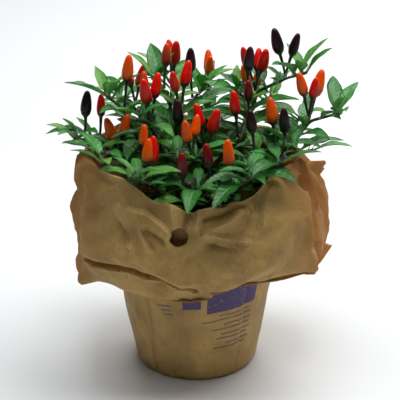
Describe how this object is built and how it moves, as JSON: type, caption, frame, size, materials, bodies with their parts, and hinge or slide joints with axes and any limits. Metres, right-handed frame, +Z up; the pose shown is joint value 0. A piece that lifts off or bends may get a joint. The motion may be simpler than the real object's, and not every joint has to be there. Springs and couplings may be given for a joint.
{
  "type": "potted chilli pepper plant",
  "caption": "Bushy ornamental chilli pepper plant with upright fruits, in a nursery pot wrapped in a kraft paper sleeve folded down into a wide cuff.",
  "frame": {"origin": "centre of the flat underside of the paper sleeve, on the axis of the pot", "axes": "+Z up along the axis of the pot; -Y is the front, the side with the round hole near its middle; +X is to the right seen from the front"},
  "size_m": [0.242, 0.202, 0.2668],
  "materials": {
    "kraft_paper": "matt brown kraft paper, creased",
    "pot_plastic": "matt recycled plastic",
    "compost": "moist peat compost, crumbly",
    "bark": "young grey-green bark",
    "leaf": "smooth dark green leaf with a soft sheen",
    "chilli_red": "glossy chilli skin, ripe red",
    "chilli_dark_red": "glossy chilli skin, dark red",
    "chilli_orange": "glossy chilli skin, half ripe orange",
    "chilli_brown": "glossy chilli skin, turning from purple to orange",
    "chilli_purple": "glossy chilli skin, unripe dark purple"
  },
  "bodies": {
    "root": {"paper_sleeve": "kraft_paper", "nursery_pot": "pot_plastic", "potting_soil": "compost", "woody_stem": "bark", "leafy_stem_left_low": "leaf", "leafy_stem_left_front": "leaf", "leafy_stem_left_high": "leaf", "leafy_stem_upper_left": "leaf", "leafy_stem_top_left": "leaf", "leafy_stem_back_top_left": "leaf", "leafy_stem_top_middle": "leaf", "leafy_stem_back_middle": "leaf", "leafy_stem_back_left": "leaf", "leafy_stem_back_right": "leaf", "leafy_stem_front_left": "leaf", "leafy_stem_front_side": "leaf", "leafy_stem_front_middle": "leaf", "leafy_stem_front_right": "leaf", "leafy_stem_front_corner": "leaf", "leafy_stem_centre": "leaf", "leafy_stem_centre_left": "leaf", "leafy_stem_centre_right": "leaf", "leafy_stem_upper_right": "leaf", "leafy_stem_top_right": "leaf", "leafy_stem_right": "leaf", "leafy_stem_right_back": "leaf", "leafy_stem_right_low": "leaf", "chilli_red_1": "chilli_red", "chilli_purple_1": "chilli_purple", "chilli_orange_1": "chilli_orange", "chilli_orange_2": "chilli_orange", "chilli_red_2": "chilli_red", "chilli_brown_1": "chilli_brown", "chilli_red_3": "chilli_red", "chilli_brown_2": "chilli_brown", "chilli_red_4": "chilli_red", "chilli_purple_2": "chilli_purple", "chilli_orange_3": "chilli_orange", "chilli_red_5": "chilli_red", "chilli_orange_4": "chilli_orange", "chilli_red_6": "chilli_red", "chilli_orange_5": "chilli_orange", "chilli_orange_6": "chilli_orange", "chilli_dark_red_1": "chilli_dark_red", "chilli_dark_red_2": "chilli_dark_red", "chilli_orange_7": "chilli_orange", "chilli_red_7": "chilli_red", "chilli_orange_8": "chilli_orange", "chilli_purple_3": "chilli_purple", "chilli_purple_4": "chilli_purple", "chilli_orange_9": "chilli_orange", "chilli_red_8": "chilli_red", "chilli_dark_red_3": "chilli_dark_red", "chilli_purple_5": "chilli_purple", "chilli_red_9": "chilli_red", "chilli_purple_6": "chilli_purple", "chilli_orange_10": "chilli_orange", "chilli_red_10": "chilli_red", "chilli_purple_7": "chilli_purple"}
  },
  "joints": []
}
